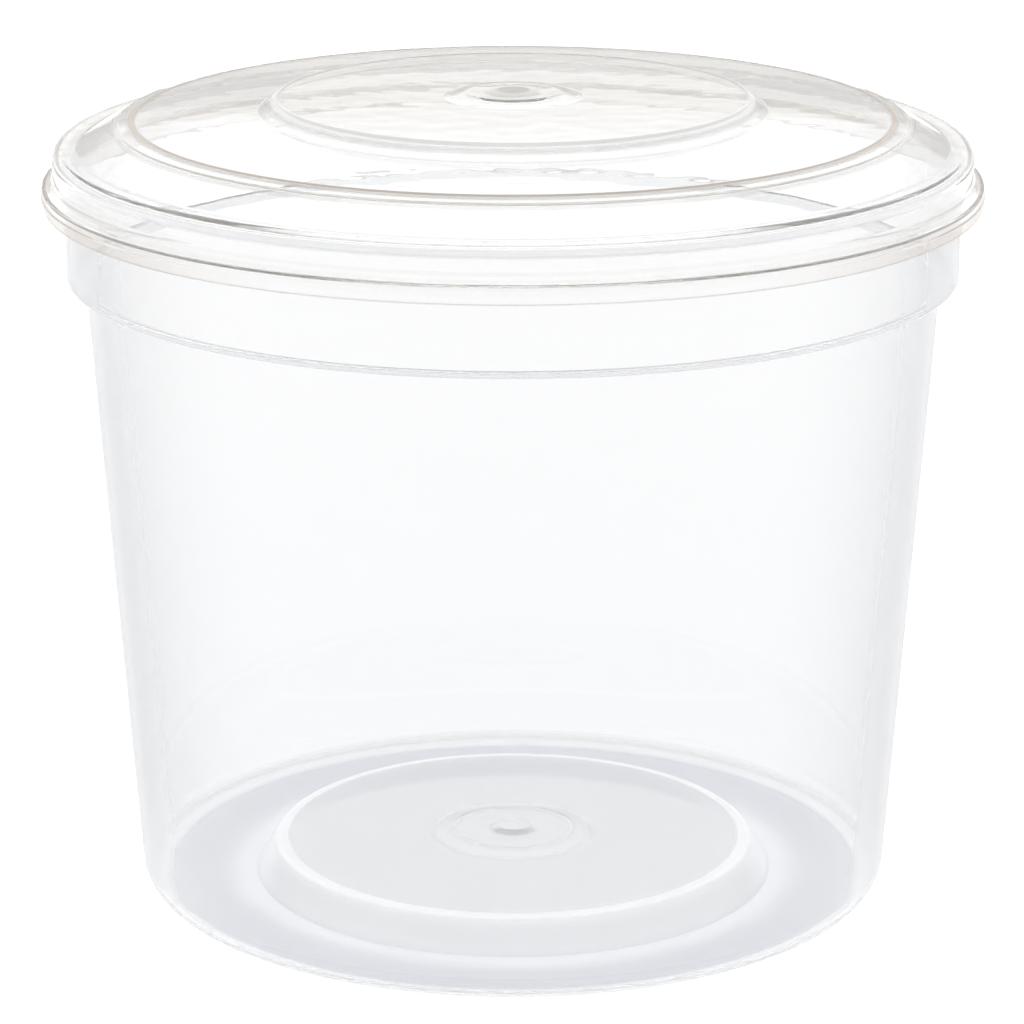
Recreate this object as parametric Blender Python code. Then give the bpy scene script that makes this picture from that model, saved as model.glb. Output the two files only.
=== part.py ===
# Takeaway soup container: a round, tapered, see-through plastic cup under its press-on lid, shut and empty.
# Metres, +Z up. The origin is the centre of the flat ring that the cup stands on.
# Each piece is one thin moulded wall. Its outer face is an outline of corners (radius from the axis,
# height, rounding), and its inner face is the same outline moved in by the wall's thickness.

import math

import bmesh
import bpy
from mathutils import Vector

# Turning
SIDES = 64                      # sides of each turned solid
ARC_TURN = math.radians(30)     # turn taken by one step of a rounded corner
MERGE = 1e-6                    # distance under which two points are one

# Cup
CUP_WALL = 0.0008
BASE_RADIUS = 0.04795           # outer radius of the body where its side meets the standing plane
TAPER = 0.0721                  # growth of the body's radius for each metre of height
CORNER_ROUND = 0.0038           # between the floor and the side
PUSH_UP_HEIGHT = 0.0042         # underside of the raised middle of the floor
PUSH_UP_TOP = 0.0304            # radius at the top of its slope
PUSH_UP_FOOT = 0.0330           # radius at the foot of its slope
PUSH_UP_ROUND = 0.0008
LEDGE_HEIGHT = 0.0806           # where the body steps out to the collar
COLLAR_RADIUS = 0.0560
LEDGE_ROUND = 0.0005
RIM_HEIGHT = 0.0956             # top edge of the cup, inside the lid
FLOOR_BOSS_RADIUS = 0.0077      # low round step at the middle of the raised floor
FLOOR_BOSS_FOOT = 0.0103
FLOOR_BOSS_HEIGHT = 0.0005
FLOOR_NUB_RADIUS = 0.0024       # pip left where the plastic was let into the mould
FLOOR_NUB_HEIGHT = 0.0003

# Lid
LID_WALL = 0.00075
DISC_HEIGHT = 0.1025            # raised middle, which fits under the cup of the next container
DISC_RADIUS = 0.0296
DISC_FOOT = 0.0317
TROUGH_INNER_HEIGHT = 0.1008    # flat ring round the raised middle
TROUGH_OUTER_HEIGHT = 0.1001
TROUGH_RADIUS = 0.0473
SHOULDER_HEIGHT = 0.0996        # top of the slope down to the rim
SHOULDER_RADIUS = 0.04945
SEAT_HEIGHT = 0.0967            # flat ring that covers the cup's rim
SEAT_INNER_RADIUS = 0.0544
SEAT_OUTER_RADIUS = 0.0576
SEAT_ROUND = 0.0012
FLANGE_INNER_HEIGHT = 0.0928    # ledge round the foot of the rim's wall
FLANGE_INNER_RADIUS = 0.0574
FLANGE_INNER_ROUND = 0.0009
FLANGE_OUTER_HEIGHT = 0.0922
FLANGE_OUTER_RADIUS = 0.0588
SKIRT_TOP_HEIGHT = 0.0912
LID_RADIUS = 0.0590             # widest part of the whole container, at the top of the skirt
SKIRT_HEIGHT = 0.0897           # lower edge of the lid
SKIRT_RADIUS = 0.0587
SOFT_ROUND = 0.0005
LID_BOSS_RADIUS = 0.0065        # low round step at the middle of the disc
LID_BOSS_FOOT = 0.0080
LID_BOSS_HEIGHT = 0.00055
LID_NUB_RADIUS = 0.0026
LID_NUB_HEIGHT = 0.0002
NUB_SLOPE = 0.0002              # how far a nub spreads at its foot

# Plastics: a milky, see-through body and a clear lid
CUP_COLOUR = (0.90, 0.91, 0.91, 1.0)
CUP_ROUGHNESS = 0.28
CUP_ALPHA = 0.45
LID_COLOUR = (0.95, 0.95, 0.94, 1.0)
LID_ROUGHNESS = 0.12
LID_ALPHA = 0.30
SHARP_ANGLE = math.radians(35)


def clear_scene():
    """Start from an empty scene."""
    for thing in list(bpy.data.objects):
        bpy.data.objects.remove(thing, do_unlink=True)


def side_normal(start, end):
    """Unit vector to the left of the way from start to end, in the outline's plane."""
    way = (end - start).normalized()
    return Vector((-way.y, way.x))


def moved_in(outline, distance):
    """The outline moved to its left by distance, with the corners' roundings kept concentric."""
    spots = [Vector((radius, height)) for radius, height, _ in outline]
    last = len(spots) - 1
    moved = []
    for index, spot in enumerate(spots):
        before = side_normal(spots[index - 1], spot) if index > 0 else None
        after = side_normal(spot, spots[index + 1]) if index < last else None
        before = before or after
        after = after or before
        shift = (before + after) / (1 + before.dot(after)) * distance
        turn = before.cross(after)
        rounding = outline[index][2]
        if rounding > 0:
            rounding = max(rounding - math.copysign(distance, turn * distance), 0.0)
        place = spot + shift
        moved.append((place.x, place.y, rounding))
    return moved


def with_arcs(outline):
    """The outline's points, with each rounded corner as an arc that touches both of its sides."""
    points = []
    for index, (radius, height, rounding) in enumerate(outline):
        corner = Vector((radius, height))
        if rounding <= 0:
            points.append(corner)
            continue
        to_before = (Vector(outline[index - 1][:2]) - corner).normalized()
        to_after = (Vector(outline[index + 1][:2]) - corner).normalized()
        half = math.acos(to_before.dot(to_after)) / 2
        centre = corner + (to_before + to_after).normalized() * rounding / math.sin(half)
        reach = rounding / math.tan(half)
        spoke = corner + to_before * reach - centre
        swing = math.copysign(math.pi - 2 * half, (-to_before).cross(to_after))
        steps = max(1, math.ceil(abs(swing) / ARC_TURN - MERGE))
        start = math.atan2(spoke.y, spoke.x)
        for step in range(steps + 1):
            angle = start + swing * step / steps
            points.append(centre + rounding * Vector((math.cos(angle), math.sin(angle))))
    return points


def plastic(name, colour, roughness, alpha):
    """A see-through plastic."""
    material = bpy.data.materials.new(name)
    material.use_nodes = True
    shader = material.node_tree.nodes["Principled BSDF"]
    shader.inputs["Base Color"].default_value = colour
    shader.inputs["Roughness"].default_value = roughness
    shader.inputs["Metallic"].default_value = 0.0
    shader.inputs["Alpha"].default_value = alpha
    return material


def turned(name, points, material):
    """One closed solid, turned about the vertical axis from points that start and end on it."""
    shape = bmesh.new()
    ring = [shape.verts.new((point.x, 0.0, point.y)) for point in points]
    edges = [shape.edges.new(pair) for pair in zip(ring, ring[1:])]
    bmesh.ops.spin(shape, geom=ring + edges, cent=(0, 0, 0), axis=(0, 0, 1), angle=math.tau,
                   steps=SIDES, use_merge=True)
    bmesh.ops.remove_doubles(shape, verts=shape.verts, dist=MERGE)
    bmesh.ops.recalc_face_normals(shape, faces=shape.faces)
    mesh = bpy.data.meshes.new(name)
    shape.to_mesh(mesh)
    shape.free()
    mesh.shade_smooth()
    mesh.set_sharp_from_angle(angle=SHARP_ANGLE)
    mesh.materials.append(material)
    piece = bpy.data.objects.new(name, mesh)
    bpy.context.collection.objects.link(piece)
    return piece


def nub(radius, rise, level):
    """A small round pip on a flat level, from the axis outwards."""
    return [Vector((0, level + rise)), Vector((radius, level + rise)), Vector((radius + NUB_SLOPE, level))]


def make_cup():
    """The tapered body with its raised floor, ledge and collar."""
    ledge_radius = BASE_RADIUS + TAPER * LEDGE_HEIGHT
    boss_height = PUSH_UP_HEIGHT + FLOOR_BOSS_HEIGHT
    outer = [
        (0.0, boss_height, 0.0),
        (FLOOR_BOSS_RADIUS, boss_height, 0.0),
        (FLOOR_BOSS_FOOT, PUSH_UP_HEIGHT, 0.0),
        (PUSH_UP_TOP, PUSH_UP_HEIGHT, PUSH_UP_ROUND),
        (PUSH_UP_FOOT, 0.0, PUSH_UP_ROUND),
        (BASE_RADIUS, 0.0, CORNER_ROUND),
        (ledge_radius, LEDGE_HEIGHT, LEDGE_ROUND),
        (COLLAR_RADIUS, LEDGE_HEIGHT, LEDGE_ROUND),
        (COLLAR_RADIUS, RIM_HEIGHT, 0.0),
    ]
    inner = with_arcs(moved_in(outer, CUP_WALL))
    wet_side = nub(FLOOR_NUB_RADIUS, FLOOR_NUB_HEIGHT, inner[0].y) + inner[1:]
    colour = plastic("milky_plastic", CUP_COLOUR, CUP_ROUGHNESS, CUP_ALPHA)
    return turned("cup", with_arcs(outer) + wet_side[::-1], colour)


def make_lid():
    """The clear lid: raised disc, trough, slope, seat over the cup's rim, flange and skirt."""
    boss_height = DISC_HEIGHT + LID_BOSS_HEIGHT
    outer = [
        (0.0, boss_height, 0.0),
        (LID_BOSS_RADIUS, boss_height, 0.0),
        (LID_BOSS_FOOT, DISC_HEIGHT, 0.0),
        (DISC_RADIUS, DISC_HEIGHT, SOFT_ROUND),
        (DISC_FOOT, TROUGH_INNER_HEIGHT, SOFT_ROUND),
        (TROUGH_RADIUS, TROUGH_OUTER_HEIGHT, 0.0),
        (SHOULDER_RADIUS, SHOULDER_HEIGHT, SOFT_ROUND),
        (SEAT_INNER_RADIUS, SEAT_HEIGHT, SOFT_ROUND),
        (SEAT_OUTER_RADIUS, SEAT_HEIGHT, SEAT_ROUND),
        (FLANGE_INNER_RADIUS, FLANGE_INNER_HEIGHT, FLANGE_INNER_ROUND),
        (FLANGE_OUTER_RADIUS, FLANGE_OUTER_HEIGHT, 0.0),
        (LID_RADIUS, SKIRT_TOP_HEIGHT, 0.0),
        (SKIRT_RADIUS, SKIRT_HEIGHT, 0.0),
    ]
    under = with_arcs(moved_in(outer, -LID_WALL))
    top = nub(LID_NUB_RADIUS, LID_NUB_HEIGHT, boss_height) + with_arcs(outer)[1:]
    colour = plastic("clear_plastic", LID_COLOUR, LID_ROUGHNESS, LID_ALPHA)
    return turned("lid", top + under[::-1], colour)


clear_scene()
make_cup()
make_lid()
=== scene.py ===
"""An empty takeaway soup tub: a tapered, milky see-through cup under a clear press-on lid.

The frame is in metres with +Z up, and the tub stands on z = 0. Each piece is turned from an outline
of corners, as its mould is: the outer face first, and the inner face one wall's thickness inside it.
"""
import math

import bmesh
import bpy
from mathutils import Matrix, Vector


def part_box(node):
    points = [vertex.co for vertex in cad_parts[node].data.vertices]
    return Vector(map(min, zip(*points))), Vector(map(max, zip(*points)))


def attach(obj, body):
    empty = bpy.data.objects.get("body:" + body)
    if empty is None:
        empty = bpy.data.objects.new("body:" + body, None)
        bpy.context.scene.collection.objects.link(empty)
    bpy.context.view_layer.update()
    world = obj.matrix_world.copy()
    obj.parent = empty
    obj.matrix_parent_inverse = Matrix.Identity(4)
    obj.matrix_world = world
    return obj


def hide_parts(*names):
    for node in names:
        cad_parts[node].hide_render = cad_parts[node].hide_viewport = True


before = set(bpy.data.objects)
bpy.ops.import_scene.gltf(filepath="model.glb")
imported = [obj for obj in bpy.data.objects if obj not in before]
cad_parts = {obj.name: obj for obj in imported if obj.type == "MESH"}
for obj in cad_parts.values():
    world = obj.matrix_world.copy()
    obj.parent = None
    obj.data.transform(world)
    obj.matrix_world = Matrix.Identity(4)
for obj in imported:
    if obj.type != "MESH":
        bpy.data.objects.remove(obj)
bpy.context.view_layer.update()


# The cup
# Injection-moulded polypropylene, 0.8 mm thick and faintly milky, drawn straight off its core. The
# middle of its floor is pushed up so that tubs stack, and near the top it steps out to a straight
# collar, over which the lid is pressed.
_, cup_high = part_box("cup")
CUP_WALL = 0.0008
BASE_RADIUS = 0.04795           # outer radius where the side meets the standing plane
TAPER = 0.0721                  # growth of the radius for each metre of height
CORNER_ROUND = 0.0038           # between the floor and the side
PUSH_UP_HEIGHT = 0.0042         # underside of the raised middle of the floor
PUSH_UP_TOP = 0.0304
PUSH_UP_FOOT = 0.0330
PUSH_UP_ROUND = 0.0008
LEDGE_HEIGHT = 0.0804           # where the body steps out to the collar
LEDGE_ROUND = 0.0004
LEDGE_WALL = 0.0004             # the ledge is thinner than the side
LEDGE_INNER_ROUND = 0.0006
FLOOR_BOSS_RADIUS = 0.0077      # low round step at the middle of the floor
FLOOR_BOSS_FOOT = 0.0103
FLOOR_BOSS_HEIGHT = 0.0005
FLOOR_BOSS_ROUND = 0.006
FLOOR_NUB_RADIUS = 0.0020       # pip left where the plastic was let into the mould
FLOOR_NUB_HEIGHT = 0.0003
RIM_EDGE_ROUND = CUP_WALL * 0.45
collar_radius = cup_high.x
rim_height = cup_high.z
ledge_radius = BASE_RADIUS + TAPER * LEDGE_HEIGHT


def side_normal(start, end):
    """Unit vector to the left of the way from start to end, in the outline's plane."""
    way = (end - start).normalized()
    return Vector((-way.y, way.x))


STRAIGHT = 1e-6                 # turn under which an outline runs straight on


def moved_in(outline, distance):
    """The outline moved to its left by distance, with the corners' roundings kept concentric."""
    spots = [Vector((radius, height)) for radius, height, _ in outline]
    last = len(spots) - 1
    moved = []
    for index, spot in enumerate(spots):
        before = side_normal(spots[index - 1], spot) if index > 0 else None
        after = side_normal(spot, spots[index + 1]) if index < last else None
        before = before or after
        after = after or before
        shift = (before + after) / (1 + before.dot(after)) * distance
        turn = before.cross(after)
        rounding = max(outline[index][2] - math.copysign(distance, turn * distance), 0.0)
        place = spot + shift
        moved.append((place.x, place.y, rounding if abs(turn) > STRAIGHT else 0.0))
    return moved


ARC_TURN = math.radians(9)      # turn taken by one step of a rounded corner
RUN_STEP = 0.0022               # longest straight step
RUN_END = 0.00006               # short first and last step, which keeps a straight run looking straight


def with_arcs(outline):
    """The outline's points: rounded corners as arcs, and long straight runs in short steps."""
    points = []
    for index, (radius, height, rounding) in enumerate(outline):
        corner = Vector((radius, height))
        arc = [corner]
        if rounding > 0:
            to_before = (Vector(outline[index - 1][:2]) - corner).normalized()
            to_after = (Vector(outline[index + 1][:2]) - corner).normalized()
            half = math.acos(to_before.dot(to_after)) / 2
            centre = corner + (to_before + to_after).normalized() * rounding / math.sin(half)
            spoke = corner + to_before * rounding / math.tan(half) - centre
            swing = math.copysign(math.pi - 2 * half, (-to_before).cross(to_after))
            steps = max(2, math.ceil(abs(swing) / ARC_TURN))
            first = math.atan2(spoke.y, spoke.x)
            angles = [first + swing * step / steps for step in range(steps + 1)]
            arc = [centre + rounding * Vector((math.cos(a), math.sin(a))) for a in angles]
        if points:
            start = points[-1]
            length = (arc[0] - start).length
            pieces = max(1, math.ceil(length / RUN_STEP))
            stops = [step / pieces for step in range(1, pieces)]
            if length > RUN_END * 3:
                stops = [RUN_END / length] + stops + [1 - RUN_END / length]
            points += [start.lerp(arc[0], stop) for stop in stops]
        points += arc
    return points


SIDES = 256                     # sides of each turned piece
MERGE = 1e-7                    # distance under which two points are one


def turned(name, points):
    """One closed solid, turned about the vertical axis from points that start and end on it."""
    shape = bmesh.new()
    ring = [shape.verts.new((point.x, 0.0, point.y)) for point in points]
    edges = [shape.edges.new(pair) for pair in zip(ring, ring[1:])]
    bmesh.ops.spin(shape, geom=ring + edges, cent=(0, 0, 0), axis=(0, 0, 1), angle=math.tau,
                   steps=SIDES, use_merge=True)
    bmesh.ops.remove_doubles(shape, verts=shape.verts, dist=MERGE)
    bmesh.ops.recalc_face_normals(shape, faces=shape.faces)
    mesh = bpy.data.meshes.new(name)
    shape.to_mesh(mesh)
    shape.free()
    mesh.shade_smooth()
    piece = bpy.data.objects.new(name, mesh)
    bpy.context.collection.objects.link(piece)
    return piece


NUB_ROUND = 0.003
NUB_SPREAD = 4                  # how far a pip's side runs out, in rises


def nub(radius, rise, level):
    """Corners of a small round pip on a flat level, with a soft side, from the axis outwards."""
    foot = radius + rise * NUB_SPREAD
    return [(0.0, level + rise, 0.0), (radius, level + rise, NUB_ROUND), (foot, level, NUB_ROUND)]


boss_height = PUSH_UP_HEIGHT + FLOOR_BOSS_HEIGHT
cup_outside = [
    (0.0, boss_height, 0.0),
    (FLOOR_BOSS_RADIUS, boss_height, FLOOR_BOSS_ROUND),
    (FLOOR_BOSS_FOOT, PUSH_UP_HEIGHT, FLOOR_BOSS_ROUND),
    (PUSH_UP_TOP, PUSH_UP_HEIGHT, PUSH_UP_ROUND),
    (PUSH_UP_FOOT, 0.0, PUSH_UP_ROUND),
    (BASE_RADIUS, 0.0, CORNER_ROUND),
    (ledge_radius, LEDGE_HEIGHT, LEDGE_ROUND),
    (collar_radius, LEDGE_HEIGHT, LEDGE_ROUND),
    (collar_radius, rim_height, RIM_EDGE_ROUND),
]
cup_inside = moved_in(cup_outside[:-1] + [(collar_radius, rim_height, 0.0)], CUP_WALL)
cup_inside[-3:-1] = [(spot, LEDGE_HEIGHT + LEDGE_WALL, LEDGE_INNER_ROUND)
                     for spot, _, _ in cup_inside[-3:-1]]
rim_edge = [(collar_radius - CUP_WALL, rim_height, RIM_EDGE_ROUND)]
floor_middle = nub(FLOOR_NUB_RADIUS, FLOOR_NUB_HEIGHT, cup_inside[0][1])
cup = turned("cup_body", with_arcs(cup_outside + rim_edge + cup_inside[-2:0:-1] + floor_middle[::-1]))


class Value:
    """A number or colour inside a material. Python's + and * on it add the Math nodes."""

    def __init__(self, finish, socket):
        self.finish = finish
        self.socket = socket

    def also(self, out):
        """Another output of the node that made this value."""
        return Value(self.finish, self.socket.node.outputs[out])

    def maths(self, operation, first, second):
        """A Math node on two values or numbers."""
        return self.finish.node("ShaderNodeMath", {"operation": operation}, {0: first, 1: second})

    def __add__(self, other):
        return self.maths("ADD", self, other)

    def __radd__(self, other):
        return self.maths("ADD", other, self)

    def __mul__(self, other):
        return self.maths("MULTIPLY", self, other)

    def __rmul__(self, other):
        return self.maths("MULTIPLY", other, self)


class Finish:
    """A material under construction, whose node() adds a node and gives back one of its outputs."""

    def __init__(self, name, holder=None):
        self.holder = holder or bpy.data.materials.new(name)
        self.holder.use_nodes = True
        self.tree = self.holder.node_tree
        self.tree.nodes.clear()

    def node(self, kind, settings=None, sockets=None, out=0):
        """A node of this kind, with its settings made first, then its sockets given values or links."""
        made = self.tree.nodes.new(kind)
        for key, setting in (settings or {}).items():
            if key == "stops":
                ramp = made.color_ramp
                ramp.elements[0].position, ramp.elements[0].color = setting[0]
                ramp.elements[1].position, ramp.elements[1].color = setting[-1]
                for position, colour in setting[1:-1]:
                    ramp.elements.new(position).color = colour
            else:
                setattr(made, key, setting)
        for key, value in (sockets or {}).items():
            if isinstance(value, Value):
                self.tree.links.new(value.socket, made.inputs[key])
            else:
                made.inputs[key].default_value = value
        return Value(self, made.outputs[out]) if out is not None else None

    def place(self, stretch=(1.0, 1.0, 1.0)):
        """The point being shaded, in the piece's own metres, stretched along its axes."""
        point = self.node("ShaderNodeTexCoord", out="Object")
        return self.node("ShaderNodeMapping", {"vector_type": "POINT"}, {"Vector": point, "Scale": stretch})

    def from_axis(self):
        """The distance of the point being shaded from the tub's axis."""
        flat_place = self.place((1.0, 1.0, 0.0))
        return self.node("ShaderNodeVectorMath", {"operation": "LENGTH"}, {0: flat_place}, out="Value")

    def above_table(self):
        """The height of the point being shaded."""
        return self.node("ShaderNodeSeparateXYZ", None, {"Vector": self.place()}, out="Z")

    def mask(self, value, start, end):
        """0 where the value is start, 1 where it is end, and a straight run between them."""
        spans = {"Value": value, "From Min": start, "From Max": end}
        return self.node("ShaderNodeMapRange", None, spans, out="Result")

    def near(self, value, target, reach):
        """1 where the value is within reach of the target, and 0 elsewhere."""
        return self.node("ShaderNodeMath", {"operation": "COMPARE"}, {0: value, 1: target, 2: reach})

    def mix(self, factor, first, second, way="MIX"):
        """A colour from the first to the second as the factor goes from 0 to 1."""
        sockets = {"Factor": factor, "A": first, "B": second}
        return self.node("ShaderNodeMix", {"data_type": "RGBA", "blend_type": way}, sockets, out="Result")

    def slant(self, start, end):
        """How far the surface is turned from the eye: 0 up to start, 1 from end on."""
        facing = self.node("ShaderNodeLayerWeight", None, {"Blend": 0.5}, out="Facing")
        return self.mask(facing, start, end)

    def ring_tones(self, across, rings):
        """Colour, and as its alpha milkiness, by the distance from the axis."""
        reach = rings[-1][0]
        stops = [(spot / reach, tone) for spot, tone in rings]
        return self.node("ShaderNodeValToRGB", {"stops": stops}, {"Fac": across * (1 / reach)}, out="Color")

    def ready(self, shader, kind="ShaderNodeOutputMaterial"):
        """The finished material, once the shader is linked to its output."""
        self.node(kind, None, {"Surface": shader}, out=None)
        return self.holder


milky = Finish("milky_polypropylene")
radius = milky.from_axis()
height = milky.above_table()
FLOOR_BLUE = (0.95, 0.96, 0.985, 0.22)     # the last number of each is how milky the plastic is there
# Painted shade: the standing ring is a darker blue-grey where it rests on the table.
RING_SHADE_BLUE = (0.70, 0.725, 0.775, 0.50)
SLOPE_GREY = (0.94, 0.945, 0.95, 0.50)
# Painted highlights: white rings on the floor's rounded edges, where the table's light glints.
EDGE_HIGHLIGHT_WHITE = (1.0, 1.0, 0.99, 0.90)
# Grey of the milk out on the side: the plastic's haze where the side turns away, and painted shade on the
# ledge's underside.
WALL_HAZE_AND_SHADE = (0.74, 0.745, 0.75, 0.0)
# From the floor's middle: pip, low step, raised flat, its edge and slope, standing ring, corner and side.
# The white rings are painted highlights, and the standing ring's blue-grey is painted shade.
floor_tone = milky.ring_tones(radius, [
    (0.0, FLOOR_BLUE), (0.0021, FLOOR_BLUE), (0.0025, EDGE_HIGHLIGHT_WHITE), (0.0030, FLOOR_BLUE),
    (0.0071, FLOOR_BLUE), (0.0076, EDGE_HIGHLIGHT_WHITE), (0.0081, FLOOR_BLUE),
    (0.0100, FLOOR_BLUE), (0.0104, SLOPE_GREY), (0.0108, FLOOR_BLUE),
    (0.0291, FLOOR_BLUE), (0.0296, EDGE_HIGHLIGHT_WHITE), (0.0306, EDGE_HIGHLIGHT_WHITE), (0.0311, SLOPE_GREY),
    (0.0330, SLOPE_GREY), (0.0334, RING_SHADE_BLUE), (0.0448, RING_SHADE_BLUE),
    (0.0456, EDGE_HIGHLIGHT_WHITE), (0.0462, EDGE_HIGHLIGHT_WHITE), (0.0472, WALL_HAZE_AND_SHADE)])
FLOOR_FADE = (0.0062, 0.0050)   # heights between which the floor's tones come in
in_floor = milky.mask(height, *FLOOR_FADE)
upward = milky.node("ShaderNodeSeparateXYZ", None, {
    "Vector": milky.node("ShaderNodeNewGeometry", out="Normal")}, out="Z")
facing_down = milky.mask(upward, -0.2, -0.7)
LINE_REACH = 0.0006             # half the width of the painted lines along the ledge and its corner: shade under the ledge, a glow at its corner
LEDGE_LINE = LEDGE_HEIGHT + 0.0001
at_ledge = milky.near(height, LEDGE_LINE, LINE_REACH)
at_corner = milky.near(radius, ledge_radius - CUP_WALL / 2, LINE_REACH)
at_rim = milky.mask(height, rim_height - LINE_REACH * 2, rim_height - LINE_REACH)
side_haze = milky.slant(0.22, 1.0)
# Painted shade: the ledge's underside is a grey milky line. Painted glow: the ledge's inner corner and the
# rim's top are milky enough to glow.
LEDGE_UNDERSIDE_SHADE = 0.5
LEDGE_CORNER_GLOW = 0.9
RIM_MILK_AND_GLOW = 0.88
SIDE_MILK = 0.95
ledge_shade_and_glow = at_ledge * (facing_down * LEDGE_UNDERSIDE_SHADE + at_corner * LEDGE_CORNER_GLOW)
milkiness = (floor_tone.also("Alpha") * in_floor + ledge_shade_and_glow + at_rim * RIM_MILK_AND_GLOW
             + side_haze * side_haze * SIDE_MILK)
PLASTIC_IOR = 1.49
# Painted shade: the clear plastic is tinted a little darker towards the floor.
CLEAR_SHADED_LOW = (0.862, 0.864, 0.867, 1)
CLEAR_HIGH = (0.880, 0.880, 0.880, 1)
CLEAR_CHANGE = 12.0             # one part in each metre of height, so from low to high in 83 mm
see_through = milky.node("ShaderNodeBsdfPrincipled", None, {
    "Base Color": milky.mix(height * CLEAR_CHANGE, CLEAR_SHADED_LOW, CLEAR_HIGH),
    "Roughness": 0.0, "IOR": PLASTIC_IOR, "Transmission Weight": 1.0})
clouds = milky.node("ShaderNodeTexNoise", None, {
    "Vector": milky.place((1.0, 1.0, 0.5)), "Scale": 45.0, "Detail": 1.0})
cloud_tone = milky.mix(clouds, (0.96, 0.96, 0.97, 1), (1.0, 1.0, 1.0, 1))
# Painted glow: the milkiest places, the floor's highlight rings, the ledge's corner and the rim's top, emit
# a little light, standing in for the table's light piped along the plastic.
painted_edge_glow = milky.mask(milkiness, 0.60, 0.90)
milk_face = milky.node("ShaderNodeBsdfPrincipled", None, {
    "Base Color": milky.mix(1.0, floor_tone, cloud_tone, "MULTIPLY"), "Specular IOR Level": 0.0,
    "Emission Strength": 0.30, "Emission Color": milky.mix(painted_edge_glow, (0, 0, 0, 1), (1, 1, 1, 1))})
milk_depth = milky.node("ShaderNodeBsdfTranslucent", None, {"Color": (0.90, 0.91, 0.93, 1.0)})
milk = milky.node("ShaderNodeMixShader", None, {0: 0.5, 1: milk_face, 2: milk_depth})
cup_plastic = milky.node("ShaderNodeMixShader", None, {0: milkiness, 1: see_through, 2: milk})
cup.data.materials.append(milky.ready(cup_plastic))

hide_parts("cup")
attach(cup, "root")


# The lid
# A clear polypropylene moulding, 0.75 mm thick. A raised disc fits under the next tub's floor, a
# trough and a slope run out to the seat over the cup's rim, and a ledge and skirt grip the collar.
lid_low, lid_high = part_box("lid")
LID_WALL = 0.00075
DISC_HEIGHT = 0.1025             # raised middle
DISC_RADIUS = 0.0296
DISC_FOOT = 0.0317
TROUGH_INNER_HEIGHT = 0.1008     # flat ring round the raised middle, which falls a little outwards
TROUGH_OUTER_HEIGHT = 0.1001
TROUGH_RADIUS = 0.0473
SHOULDER_HEIGHT = 0.0996         # top of the slope down to the rim
SHOULDER_RADIUS = 0.04945
SEAT_HEIGHT = 0.0967             # flat ring that covers the cup's rim
SEAT_INNER_RADIUS = 0.0544
SEAT_OUTER_RADIUS = 0.0576
SEAT_ROUND = 0.0012
FLANGE_INNER_HEIGHT = 0.0928     # ledge round the foot of the rim's wall
FLANGE_INNER_RADIUS = 0.0574
FLANGE_INNER_ROUND = 0.0009
FLANGE_OUTER_HEIGHT = 0.0922
FLANGE_OUTER_RADIUS = 0.0588
FLANGE_OUTER_ROUND = 0.0003
SKIRT_TOP_HEIGHT = 0.0912
SKIRT_TOP_ROUND = 0.0004
SKIRT_RADIUS = 0.0587
LID_BOSS_RADIUS = 0.0065
LID_BOSS_FOOT = 0.0080
LID_BOSS_HEIGHT = 0.00055
LID_BOSS_ROUND = 0.004
LID_NUB_RADIUS = 0.0022
SOFT_ROUND = 0.0005
FINE_ROUND = 0.0002
lid_boss_top = DISC_HEIGHT + LID_BOSS_HEIGHT
lid_nub_rise = lid_high.z - lid_boss_top
lid_outside = [
    (0.0, lid_boss_top, 0.0),
    (LID_BOSS_RADIUS, lid_boss_top, LID_BOSS_ROUND),
    (LID_BOSS_FOOT, DISC_HEIGHT, LID_BOSS_ROUND),
    (DISC_RADIUS, DISC_HEIGHT, SOFT_ROUND),
    (DISC_FOOT, TROUGH_INNER_HEIGHT, SOFT_ROUND),
    (TROUGH_RADIUS, TROUGH_OUTER_HEIGHT, FINE_ROUND),
    (SHOULDER_RADIUS, SHOULDER_HEIGHT, SOFT_ROUND),
    (SEAT_INNER_RADIUS, SEAT_HEIGHT, SOFT_ROUND),
    (SEAT_OUTER_RADIUS, SEAT_HEIGHT, SEAT_ROUND),
    (FLANGE_INNER_RADIUS, FLANGE_INNER_HEIGHT, FLANGE_INNER_ROUND),
    (FLANGE_OUTER_RADIUS, FLANGE_OUTER_HEIGHT, FLANGE_OUTER_ROUND),
    (lid_high.x, SKIRT_TOP_HEIGHT, SKIRT_TOP_ROUND),
    (SKIRT_RADIUS, lid_low.z, FINE_ROUND),
]
lid_inside = moved_in(lid_outside[:-1] + [(SKIRT_RADIUS, lid_low.z, 0.0)], -LID_WALL)
skirt_edge = [(lid_inside[-1][0], lid_low.z, FINE_ROUND)]
lid_middle = nub(LID_NUB_RADIUS, lid_nub_rise, lid_boss_top)
lid = turned("lid_shell", with_arcs(lid_middle + lid_outside[1:] + skirt_edge + lid_inside[-2::-1]))

clear = Finish("clear_polypropylene")
across = clear.from_axis()
level = clear.above_table()
ripples = clear.node("ShaderNodeTexNoise", None, {"Vector": clear.place(), "Scale": 320.0, "Detail": 0.0})
lid_relief = clear.node("ShaderNodeBump", None, {
    "Height": ripples, "Strength": 0.03, "Distance": 0.0002}, out="Normal")
lid_clear = clear.node("ShaderNodeBsdfPrincipled", None, {
    "Base Color": clear.mix(ripples, (0.985, 0.982, 0.976, 1), (1.0, 0.998, 0.994, 1)),
    "Normal": lid_relief, "Roughness": 0.0, "IOR": PLASTIC_IOR, "Transmission Weight": 1.0})
GATE_GREY = (0.62, 0.60, 0.56, 0.52)       # the last number of each is how milky the lid is there
GATE_EDGE = (0.90, 0.89, 0.87, 0.62)
CLEAR = (1.0, 1.0, 1.0, 0.0)
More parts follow.
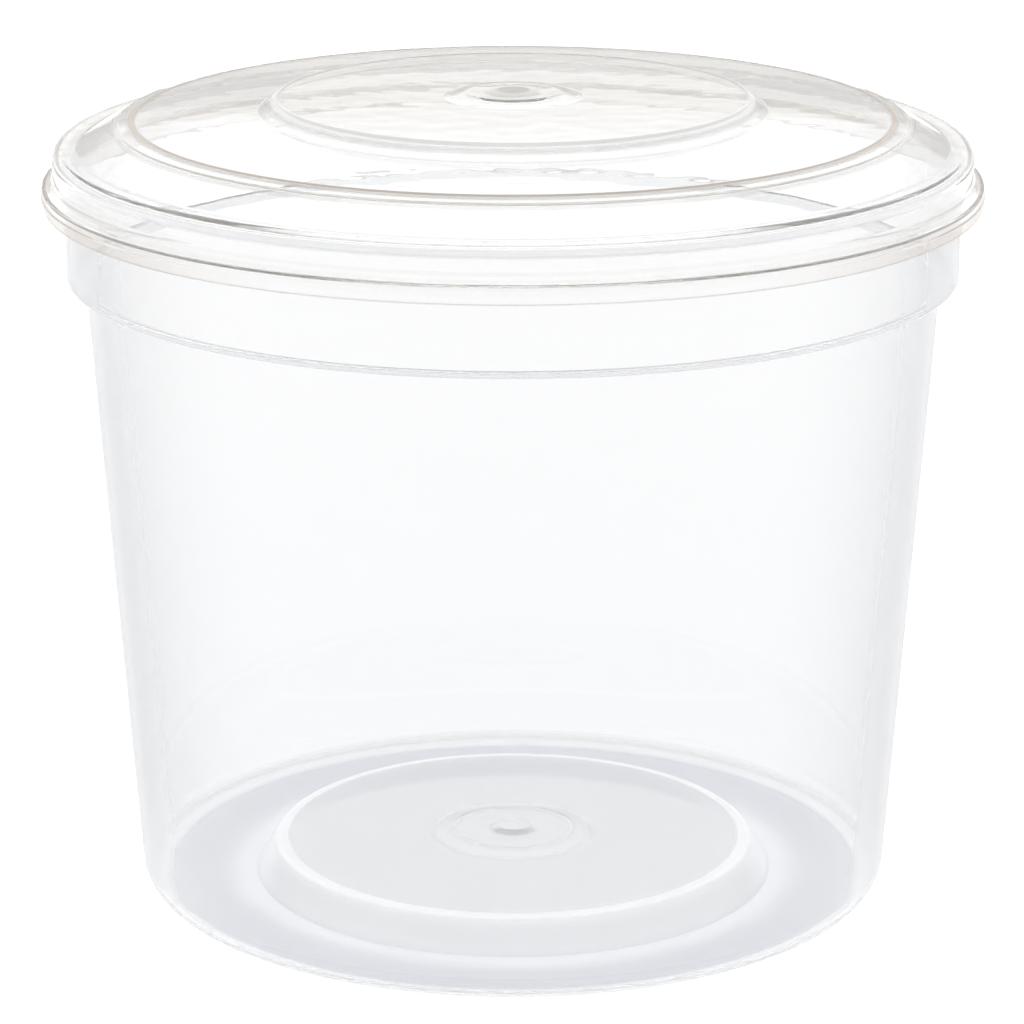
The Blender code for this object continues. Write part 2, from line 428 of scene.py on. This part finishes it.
# Painted highlights: white at the disc's rounded edge and on its slope.
DISC_EDGE_HIGHLIGHT = (1.0, 1.0, 0.99, 0.66)
BEND_HIGHLIGHT_WHITE = (1.0, 1.0, 0.99, 0.14)
# Painted shade: a brown line at the trough's outer bend and a soft cream one at the shoulder.
BEND_SHADE_BROWN = (0.72, 0.65, 0.58, 0.58)
BEND_SOFT_SHADE = (0.95, 0.93, 0.90, 0.45)
# Painted reflection: the cream of the room, faintly in the seat's corner, the seat and the rim.
CORNER_REFLECTED_CREAM = (1.0, 0.98, 0.94, 0.08)
SEAT_REFLECTED_CREAM = (1.0, 0.985, 0.955, 0.03)
RIM_REFLECTED_CREAM = (1.0, 0.985, 0.96, 0.02)
# Painted shade: brown on the skirt, strongest at its turned-away ends.
SKIRT_SHADE_BROWN = (0.50, 0.43, 0.37, 1)
# From the disc's middle: pip, disc, its slope, trough, shoulder, slope, corner, seat and rim. Its white
# bands are painted highlights, its brown and soft bands painted shade, and its cream painted reflection.
band_tone = clear.ring_tones(across, [
    (0.0, GATE_GREY), (0.0018, GATE_GREY), (0.0023, GATE_EDGE), (0.0031, GATE_EDGE), (0.0038, CLEAR),
    (0.0291, CLEAR), (0.0294, DISC_EDGE_HIGHLIGHT), (0.0301, DISC_EDGE_HIGHLIGHT), (0.0305, BEND_HIGHLIGHT_WHITE),
    (0.0314, BEND_HIGHLIGHT_WHITE), (0.0320, CLEAR),
    (0.0469, CLEAR), (0.0472, BEND_SHADE_BROWN), (0.0478, BEND_SHADE_BROWN), (0.0482, CLEAR),
    (0.0490, CLEAR), (0.0492, BEND_SOFT_SHADE), (0.0497, BEND_SOFT_SHADE), (0.0500, CLEAR),
    (0.0537, CLEAR), (0.0541, CORNER_REFLECTED_CREAM), (0.0546, CORNER_REFLECTED_CREAM), (0.0549, SEAT_REFLECTED_CREAM),
    (0.0562, SEAT_REFLECTED_CREAM), (0.0568, RIM_REFLECTED_CREAM), (0.0590, RIM_REFLECTED_CREAM)])
UNDER_SEAT_FADE = (0.0962, 0.0952)         # heights between which the rim's streaks come in
SKIRT_FADE = (0.0924, 0.0914)
under_seat = clear.mask(level, *UNDER_SEAT_FADE)
in_skirt = clear.mask(level, *SKIRT_FADE)
turned_away = clear.slant(0.22, 0.60)
streaks = clear.node("ShaderNodeTexNoise", None, {
    "Vector": clear.place((1.0, 1.0, 90.0)), "Scale": 30.0, "Detail": 2.0})
streak_tone = clear.node("ShaderNodeValToRGB", {"stops": [
    (0.32, (0.80, 0.76, 0.70, 1)), (0.45, (0.97, 0.96, 0.94, 1)), (0.60, (1.0, 1.0, 1.0, 1))]},
    {"Fac": streaks})
rim_tone = clear.mix(under_seat, band_tone, streak_tone, "MULTIPLY")
lid_milk = clear.node("ShaderNodeBsdfPrincipled", None, {
    "Base Color": clear.mix(in_skirt, rim_tone, SKIRT_SHADE_BROWN), "Specular IOR Level": 0.0})
RIM_HAZE = 0.12
# The skirt's share of painted brown shade grows where it turns away.
SKIRT_END_SHADE = 0.24
lid_milkiness = band_tone.also("Alpha") + turned_away * (under_seat * RIM_HAZE + in_skirt * SKIRT_END_SHADE)
lid_plastic = clear.node("ShaderNodeMixShader", None, {0: lid_milkiness, 1: lid_clear, 2: lid_milk})
lid.data.materials.append(clear.ready(lid_plastic))

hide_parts("lid")
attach(lid, "root")


# The studio
# A light table of white acrylic glows from below and fills the picture, with one soft panel overhead.
# Round it stands a tent of white cloth, open low down at the back on to a pale cream room.
TABLE_SIZE = 8.0
TABLE_GLOW = 1.27
half_table = TABLE_SIZE / 2
table_mesh = bpy.data.meshes.new("light_table")
table_mesh.from_pydata([(-half_table, -half_table, 0), (half_table, -half_table, 0),
                        (half_table, half_table, 0), (-half_table, half_table, 0)], [], [(0, 1, 2, 3)])
table = bpy.data.objects.new("light_table", table_mesh)
bpy.context.collection.objects.link(table)
acrylic = Finish("glowing_white_acrylic")
cast = acrylic.node("ShaderNodeTexNoise", None, {"Vector": acrylic.place(), "Scale": 60.0, "Detail": 0.0})
table.data.materials.append(acrylic.ready(acrylic.node("ShaderNodeBsdfPrincipled", None, {
    "Base Color": (0.0, 0.0, 0.0, 1.0), "Specular IOR Level": 0.0, "Emission Strength": TABLE_GLOW,
    "Emission Color": acrylic.mix(cast, (0.98, 0.983, 0.99, 1), (0.99, 0.993, 1.0, 1))})))
table.data.materials[0].cycles.emission_sampling = "NONE"

PANEL_PLACE = (0.0, 0.25, 1.6)
PANEL_SIDE = 1.0
PANEL_GLOW = 0.8                # brightness seen straight on
panel_light = bpy.data.lights.new("top_panel", "AREA")
panel_light.shape = "RECTANGLE"
panel_light.size = PANEL_SIDE
panel_light.size_y = PANEL_SIDE
panel_light.energy = PANEL_GLOW * math.pi * PANEL_SIDE * PANEL_SIDE
panel = bpy.data.objects.new("top_panel", panel_light)
panel.location = PANEL_PLACE
panel.rotation_euler = (Vector((0.0, 0.0, 0.0)) - Vector(PANEL_PLACE)).to_track_quat("-Z", "Y").to_euler()
bpy.context.collection.objects.link(panel)

# The tent is white above the top of its back opening. The room seen through that is a pale cream, and
# shaded lower down. Heights in the surroundings go from 0 straight down to 1 straight up.


def up_at(degrees):
    """The height in the surroundings of a direction so many degrees above the horizon."""
    return math.sin(math.radians(degrees)) / 2 + 0.5


TENT = (1.0, 1.0, 1.0, 1.0)
ROOM = (0.81, 0.785, 0.742, 1.0)
SHADE = (0.64, 0.62, 0.595, 1.0)
OPENING_TOP = up_at(11.4)
OPENING_EDGE = 0.0005
SHADE_TOP = up_at(10.3)
SHADE_EDGE = 0.002
SHADE_FOOT = 0.47
SHADE_FOOT_EDGE = 0.01
tent = Finish("tent", bpy.data.worlds.new("tent"))
direction = tent.node("ShaderNodeTexCoord", out="Generated")
aim = tent.node("ShaderNodeSeparateXYZ", None, {"Vector": direction}, out="Z")
behind = tent.mask(aim.also("Y"), 0.0, 0.3)
cloth = tent.node("ShaderNodeValToRGB", {"stops": [
    (0.0, TENT), (SHADE_FOOT - SHADE_FOOT_EDGE, TENT), (SHADE_FOOT, SHADE), (SHADE_TOP, SHADE),
    (SHADE_TOP + SHADE_EDGE, ROOM),
    (OPENING_TOP - OPENING_EDGE, ROOM), (OPENING_TOP, TENT), (1.0, TENT)]}, {"Fac": aim * 0.5 + 0.5})
surround = tent.mix(behind, TENT, cloth)
bpy.context.scene.world = tent.ready(
    tent.node("ShaderNodeBackground", None, {"Color": surround, "Strength": 1.0}), "ShaderNodeOutputWorld")
bpy.context.scene.world.cycles.sampling_method = "NONE"
bpy.context.scene.view_settings.view_transform = "Standard"
# Light runs far inside clear walls, and comes through them sharp, so that they cast no false shadow.
CLEAR_BOUNCES = 20
MILK_BOUNCES = 2
light_paths = bpy.context.scene.cycles
light_paths.blur_glossy = 0.0
light_paths.max_bounces = light_paths.transmission_bounces = light_paths.glossy_bounces = CLEAR_BOUNCES
light_paths.diffuse_bounces = MILK_BOUNCES


# The camera
# A long lens a little above the lid, looking down at the tub's middle.
CAMERA_DISTANCE = 0.546
CAMERA_HEIGHT = 0.2084
CAMERA_PITCH = math.radians(16.34)
FOCAL_PIXELS = 4439.0
PICTURE_PIXELS = 1024.0
AXIS_OFFSET = 1.0               # pixels from the picture's middle to the tub's axis
camera_data = bpy.data.cameras.new("camera")
camera_data.sensor_width = 36.0
camera_data.lens = FOCAL_PIXELS / PICTURE_PIXELS * camera_data.sensor_width
camera_data.shift_x = -AXIS_OFFSET / PICTURE_PIXELS
camera_data.clip_start = 0.01
camera = bpy.data.objects.new("camera", camera_data)
camera.location = (0.0, -CAMERA_DISTANCE, CAMERA_HEIGHT)
camera.rotation_euler = (math.pi / 2 - CAMERA_PITCH, 0.0, 0.0)
bpy.context.collection.objects.link(camera)
bpy.context.scene.camera = camera
